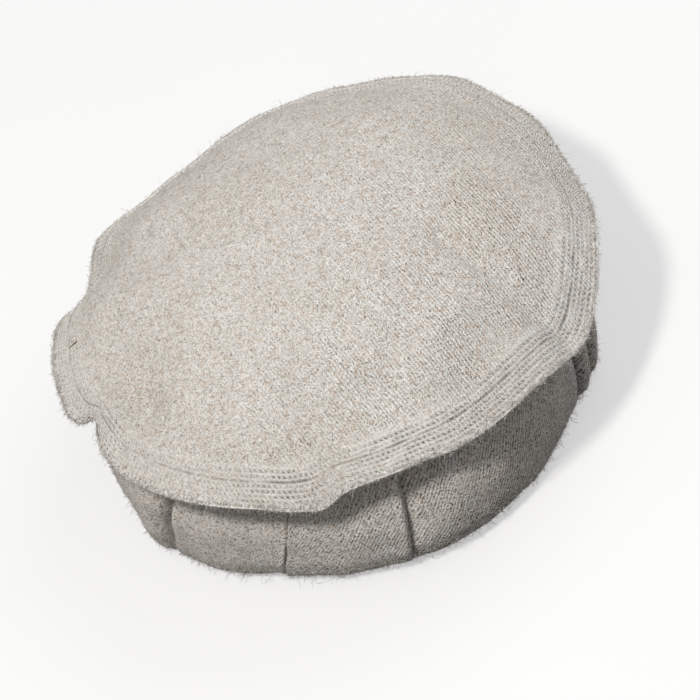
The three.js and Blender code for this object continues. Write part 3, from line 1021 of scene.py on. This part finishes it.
# Short fibres of each kind: how many, the spread of their lengths over the shortest, the spread of their
# lift off the cloth over the lowest, and their radii, in mm
Fibres = namedtuple("Fibres", "count length_spread shortest lift_spread lowest thinnest thickest")
CROWN_FIBRES = Fibres(16000, 0.4, 0.6, 0.14, 0.08, 0.045, 0.085)
BAND_FIBRES = Fibres(12000, 0.45, 0.6, 0.18, 0.08, 0.045, 0.085)
LIP_FIBRES = Fibres(11000, 0.42, 0.7, 0.16, 0.05, 0.05, 0.09)
LIP_BRUSHING = 2.0
ROOT_DEPTH = 0.15
NAP_CLEARANCE = 0.15

# Longer hairs that stand off the edges
RIM_HAIRS = 1900
HANGING_HAIRS = 3200
HAIR_STEPS = 6
HAIR_CLEARANCE = 0.2
HAIR_RADII = (0.06, 0.1)


def tubes(paths, radii, sides=3, blunt=False):
    """Closed tubes along paths of the same number of points, with a pointed far end unless blunt."""
    count, steps, _ = paths.shape
    forward = np.gradient(paths, axis=1)
    forward = unit(forward + 1e-9)
    helper = np.where(np.abs(forward[:, :1, 2:]) < 0.8, np.array([0, 0, 1.0]), np.array([1.0, 0, 0]))
    side = unit(np.cross(forward, helper))
    up = np.cross(forward, side)
    rings = steps if blunt else steps - 1
    angles = 2 * math.pi * np.arange(sides) / sides
    circle = (side[:, :rings, None] * np.cos(angles)[None, None, :, None]
              + up[:, :rings, None] * np.sin(angles)[None, None, :, None])
    points = paths[:, :rings, None] + circle * radii[:, None, None, None]
    points = points.reshape(count, rings * sides, 3)
    tip = paths[:, -1:]
    points = np.concatenate([points, tip], axis=1)
    each = rings * sides + 1
    local = []
    for ring in range(rings - 1):
        for j in range(sides):
            k = (j + 1) % sides
            a, b = ring * sides + j, ring * sides + k
            local += [(a, b, b + sides), (a, b + sides, a + sides)]
    last = (rings - 1) * sides
    for j in range(sides):
        k = (j + 1) % sides
        local.append((last + j, last + k, rings * sides))
    local += [(0, j + 1, j) for j in range(1, sides - 1)]
    triangles = np.array(local)[None] + (np.arange(count) * each)[:, None, None]
    return points.reshape(-1, 3), triangles.reshape(-1, 3)


def rim_stitches(material):
    """Short threads from hole to hole in every sewn row, where the nap hasn't closed over them."""
    dice = np.random.default_rng(21)
    paths = []
    for row, place in enumerate(STITCH_ROWS):
        stitch = np.arange(stitches_in(row))
        clear = row_fading(stitch_azimuth(row, stitch), row)
        stitch = stitch[clear > dice.uniform(0, 2 * (1 - THREADS_SHOWN), len(stitch))]
        slant = THREAD_SLANT * dice.normal(0.8, 0.5, len(stitch))
        tuck = dice.uniform(0.0, 0.2, len(stitch)) + (TIGHT_TUCK if row == TIGHT_ROW else 0.0)
        points = []
        for spot in THREAD_ARCH:
            azimuths = stitch_azimuth(row, stitch + spot.share)
            distance = place + slant * spot.aside
            base, _, _ = crown_cloth_point(azimuths, distance=distance, lift=spot.lift - tuck)
            points.append(base)
        paths.append(np.stack(points, axis=1))
    paths = np.concatenate(paths)
    radii = dice.uniform(0.8, 1.2, len(paths)) * THREAD_RADIUS
    points, triangles = tubes(paths, radii, sides=4, blunt=True)
    return make_piece("rim_stitches", points, triangles, material)


def nap_paths(roots, normals, dice, lengths, lifts, lying=None):
    """Paths of short fibres that leave the cloth at a low angle and bend over, three points each."""
    count = len(roots)
    any_way = dice.normal(size=(count, 3))
    if lying is not None:
        any_way = any_way + lying
    level = any_way - normals * np.einsum("ij,ij->i", any_way, normals)[:, None]
    level = unit(level)
    side = np.cross(normals, level)
    curl = dice.normal(size=(count, 1)) * 0.35
    reach = lengths[:, None]
    rise = lifts[:, None]
    middle = roots + level * reach * 0.55 + normals * rise + side * curl * reach * 0.3
    end = roots + level * reach + normals * rise * 0.7 + side * curl * reach
    return np.stack([roots - normals * ROOT_DEPTH, middle, end], axis=1)


def make_nap(name, fibres, roots, normals, dice, material, lying=None):
    """One mesh of short fibres on the given roots, kept above the surface that the cap rests on."""
    lengths = dice.gamma(3, fibres.length_spread, fibres.count) + fibres.shortest
    lifts = dice.gamma(2, fibres.lift_spread, fibres.count) + fibres.lowest
    paths = nap_paths(roots, normals, dice, lengths, lifts, lying)
    paths[..., 2] = np.maximum(paths[..., 2], NAP_CLEARANCE)
    points, triangles = tubes(paths, dice.uniform(fibres.thinnest, fibres.thickest, fibres.count))
    return make_piece(name, points, triangles, material)


def crown_nap(material):
    dice = np.random.default_rng(31)
    azimuths = dice.uniform(0, 360, CROWN_FIBRES.count)
    shares = np.sqrt(dice.uniform(0, 1, CROWN_FIBRES.count)) * 0.995
    edge = share_from_edge(QUILTED_REACH)
    roots, normals, _ = crown_cloth_point(azimuths, share=np.minimum(shares, edge))
    near = shares > edge
    inwards = np.arange(20.0, -1, -1)
    distances = np.interp(shares[near], share_from_edge(inwards), inwards)
    roots[near], normals[near], _ = crown_cloth_point(azimuths[near], distance=distances)
    return make_nap("crown_nap", CROWN_FIBRES, roots, normals, dice, material)


def grid_roots(grid, dice, count, first, last):
    """Random places on rows first to last of a closed grid, spread by area, and the normals there."""
    normals = grid_normals(grid)
    across = np.roll(grid, -1, axis=1) - grid
    down = np.roll(grid, -1, axis=0) - grid
    areas = np.linalg.norm(np.cross(across, down), axis=-1)[first:last]
    chosen = dice.choice(areas.size, size=count, p=(areas / areas.sum()).ravel())
    row = chosen // areas.shape[1] + first
    column = chosen % areas.shape[1]
    one, two = dice.uniform(0, 1, (2, count, 1))
    roots = grid[row, column] + across[row, column] * one + down[row, column] * two
    return roots, normals[row, column]


def rows_before(name):
    """How many dense face rows come before a named row of the side section."""
    count = SEAM_FACE_ROWS * len(SEAM_ROWS)
    for row in SIDE_SECTION:
        if row.name == name:
            return count
        count += row.face_rows


def band_nap(material, face):
    dice = np.random.default_rng(41)
    first = rows_before("outer edge of the rest")
    roots, normals = grid_roots(face, dice, BAND_FIBRES.count, first, rows_before("top fold"))
    return make_nap("band_nap", BAND_FIBRES, roots, normals, dice, material)


def lip_nap(material):
    """Short pale fibres brushed out over the rim's lip."""
    dice = np.random.default_rng(45)
    azimuths = dice.uniform(0, 360, LIP_FIBRES.count)
    distances = dice.uniform(0.0, LIP, LIP_FIBRES.count)
    roots, normals, _ = crown_cloth_point(azimuths, distance=distances)
    lying = level_outward(azimuths) * LIP_BRUSHING
    return make_nap("lip_nap", LIP_FIBRES, roots, normals, dice, material, lying)


def curled_paths(roots, heading, dice, lengths):
    """Paths of longer loose hairs that leave along a heading and wander in a loose curl."""
    count = len(roots)
    direction = unit(dice.normal(size=(count, 3)) * 0.5 + heading)
    axis = unit(dice.normal(size=(count, 3)))
    bend = dice.normal(size=count) * 0.5
    paths = [roots]
    for _ in range(HAIR_STEPS - 1):
        turned = np.cross(axis, direction) * bend[:, None]
        direction = unit(direction + turned + dice.normal(size=(count, 3)) * 0.12)
        paths.append(paths[-1] + direction * (lengths / (HAIR_STEPS - 1))[:, None])
    return np.stack(paths, axis=1)


def edge_fibres(material, face):
    """Loose hairs along the rim's edge and along the band's turned lower edge."""
    dice = np.random.default_rng(51)
    azimuths = dice.uniform(0, 360, RIM_HAIRS)
    middle = under_crown(azimuths, 1, CROWN_WALL / 2)
    turn = dice.uniform(0, math.pi, RIM_HAIRS)[:, None]
    upward = crown_normal(azimuths, 1) * np.cos(turn) * CROWN_WALL / 2
    ring = upward + level_outward(azimuths) * np.sin(turn) * EDGE_ROUND
    lengths = dice.gamma(3, 0.6, RIM_HAIRS) + 0.6
    rim = curled_paths(middle + ring * 0.9, unit(ring) * 0.8, dice, lengths)
    first = rows_before("outer edge of the rest")
    roots, down = grid_roots(face, dice, HANGING_HAIRS, first, rows_before("low on the band"))
    lengths = dice.gamma(2, 1.0, HANGING_HAIRS) + 0.8
    hanging = curled_paths(roots - down * 0.2, down * 0.9, dice, lengths)
    hanging[..., 2] = np.maximum(hanging[..., 2], HAIR_CLEARANCE)
    paths = np.concatenate([rim, hanging])
    points, triangles = tubes(paths, dice.uniform(*HAIR_RADII, len(paths)))
    return make_piece("edge_fibres", points, triangles, material)


Fleck = namedtuple("Fleck", "azimuth radius heading length thickness")
FLECKS = [
    Fleck(9.5, 114.8, 9, 5.0, 0.32),
    Fleck(186, 70.7, 120, 2.2, 0.2),
]
FLECK_LIFT = 0.25


def burr_flecks(material):
    paths = []
    for fleck in FLECKS:
        azimuth = np.array([fleck.azimuth])
        share = np.array([fleck.radius / RIM_RADIUS])
        middle, normal, _ = crown_cloth_point(azimuth, share=share, lift=FLECK_LIFT)
        along = np.array([*plan_point(fleck.heading, 1.0), 0.0])
        along = unit(along - normal[0] * (along @ normal[0]))
        places = np.linspace(-0.5, 0.5, 5)[:, None] * fleck.length
        paths.append(middle[0] + along * places)
    radii = np.array([fleck.thickness for fleck in FLECKS])
    points, triangles = tubes(np.array(paths), radii, sides=5, blunt=True)
    return make_piece("burr_flecks", points, triangles, material)


# Stage: floor, light and camera

PHOTO_AZIMUTH = 200
PHOTO_ELEVATION = 44
PHOTO_ROLL = 24.7
PHOTO_DISTANCE = 1600
PHOTO_AIM = np.array([-7.0, 21.0, 40.0])
PHOTO_WIDTH_PX = 700
PHOTO_SCALE = 2.238
SENSOR = 36
SKY_GLOW = 0.33
FLOOR_GLOW = 0.04
HORIZON = (-0.1, 0.15)
FLOOR_HALF = 4.0

# Distances and sizes in metres, power in watts: the key stands high on the left and is small enough for a
# crisp shadow under the rim, and two large soft lights fill in from the far side and from the right
SoftBox = namedtuple("SoftBox", "name azimuth elevation distance size power colour")
SOFT_BOXES = [
    SoftBox("key_softbox", 67, 63, 1.8, 0.26, 20.5, "#fffdfa"),
    SoftBox("far_fill", 240, 40, 2.0, 1.4, 8.2, "#fbfcff"),
    SoftBox("right_fill", 210, 25, 2.0, 1.4, 5.4, "#fbfcff"),
]


def camera_axes():
    a, e, roll = (math.radians(v) for v in (PHOTO_AZIMUTH, PHOTO_ELEVATION, PHOTO_ROLL))
    back = np.array([math.sin(a) * math.cos(e), -math.cos(a) * math.cos(e), math.sin(e)])
    level = np.array([math.cos(a), math.sin(a), 0.0])
    upright = np.cross(back, level)
    right = level * math.cos(roll) - upright * math.sin(roll)
    up = upright * math.cos(roll) + level * math.sin(roll)
    return right, up, back


def place_camera():
    right, up, back = camera_axes()
    data = bpy.data.cameras.new("photo_camera")
    data.sensor_width = SENSOR
    data.lens = SENSOR * PHOTO_SCALE * PHOTO_DISTANCE / PHOTO_WIDTH_PX
    camera = bpy.data.objects.new("photo_camera", data)
    bpy.context.scene.collection.objects.link(camera)
    turned = Matrix((right, up, back)).transposed().to_4x4()
    spot = (PHOTO_AIM + back * PHOTO_DISTANCE) * MM
    camera.matrix_world = Matrix.Translation(Vector(spot)) @ turned
    bpy.context.scene.camera = camera


def place_light(box):
    data = bpy.data.lights.new(box.name, "AREA")
    data.shape = "DISK"
    data.size = box.size
    data.energy = box.power
    data.color = to_linear(box.colour)[:3]
    light = bpy.data.objects.new(box.name, data)
    bpy.context.scene.collection.objects.link(light)
    level = plan_point(box.azimuth, math.cos(math.radians(box.elevation)))
    direction = Vector((*level, math.sin(math.radians(box.elevation))))
    light.location = Vector(PHOTO_AIM * MM) + direction * box.distance
    light.rotation_euler = direction.to_track_quat("Z", "Y").to_euler()


def light_studio():
    for box in SOFT_BOXES:
        place_light(box)
    world = bpy.data.worlds.new("studio")
    world.use_nodes = True
    tree = world.node_tree
    sky = add_node(tree, "ShaderNodeTexCoord", {})
    height = add_node(tree, "ShaderNodeSeparateXYZ", {"Vector": sky.outputs["Generated"]})
    shade = add_node(tree, "ShaderNodeMapRange", {
        "Value": height.outputs["Z"], "From Min": HORIZON[0], "From Max": HORIZON[1],
        "To Min": FLOOR_GLOW, "To Max": SKY_GLOW,
    })
    tree.links.new(shade.outputs[0], tree.nodes["Background"].inputs["Strength"])
    tree.nodes["Background"].inputs["Color"].default_value = (1, 1, 1, 1)
    bpy.context.scene.world = world
    bpy.context.scene.view_settings.view_transform = "Standard"


def lay_floor():
    mesh = bpy.data.meshes.new("studio_floor")
    corners = [(x * FLOOR_HALF, y * FLOOR_HALF, 0) for x, y in ((-1, -1), (1, -1), (1, 1), (-1, 1))]
    mesh.from_pydata(corners, [], [(0, 1, 2, 3)])
    mesh.materials.append(lit_acrylic_floor())
    floor = bpy.data.objects.new("studio_floor", mesh)
    bpy.context.scene.collection.objects.link(floor)
    floor.visible_diffuse = False


place_camera()
light_studio()
lay_floor()

crown_wool = fulled_wool_twill(
    "fulled_wool_twill_crown", by_uv=False, twill_turn=124, contrast=2.2, fibre_shades=CROWN_SHADES)
# The band's copy of the wool is painted lighter, as painted light
band_wool = fulled_wool_twill(
    "fulled_wool_twill_band", by_uv=True, twill_turn=60, contrast=4.2, fibre_shades=BAND_SHADES_PAINTED_LIGHTER)
fibre = loose_wool_fibre()
band = band_cloth_rows()

crown_piece = crown_cloth(crown_wool)
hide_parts("crown")
band_piece = band_cloth(band_wool, band)
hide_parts("rolled_band")
rim_stitches(spun_sewing_thread())
crown_nap(fibre)
lip_nap(fibre)
band_nap(fibre, band.face)
edge_fibres(fibre, band.face)
burr_flecks(dark_burr())
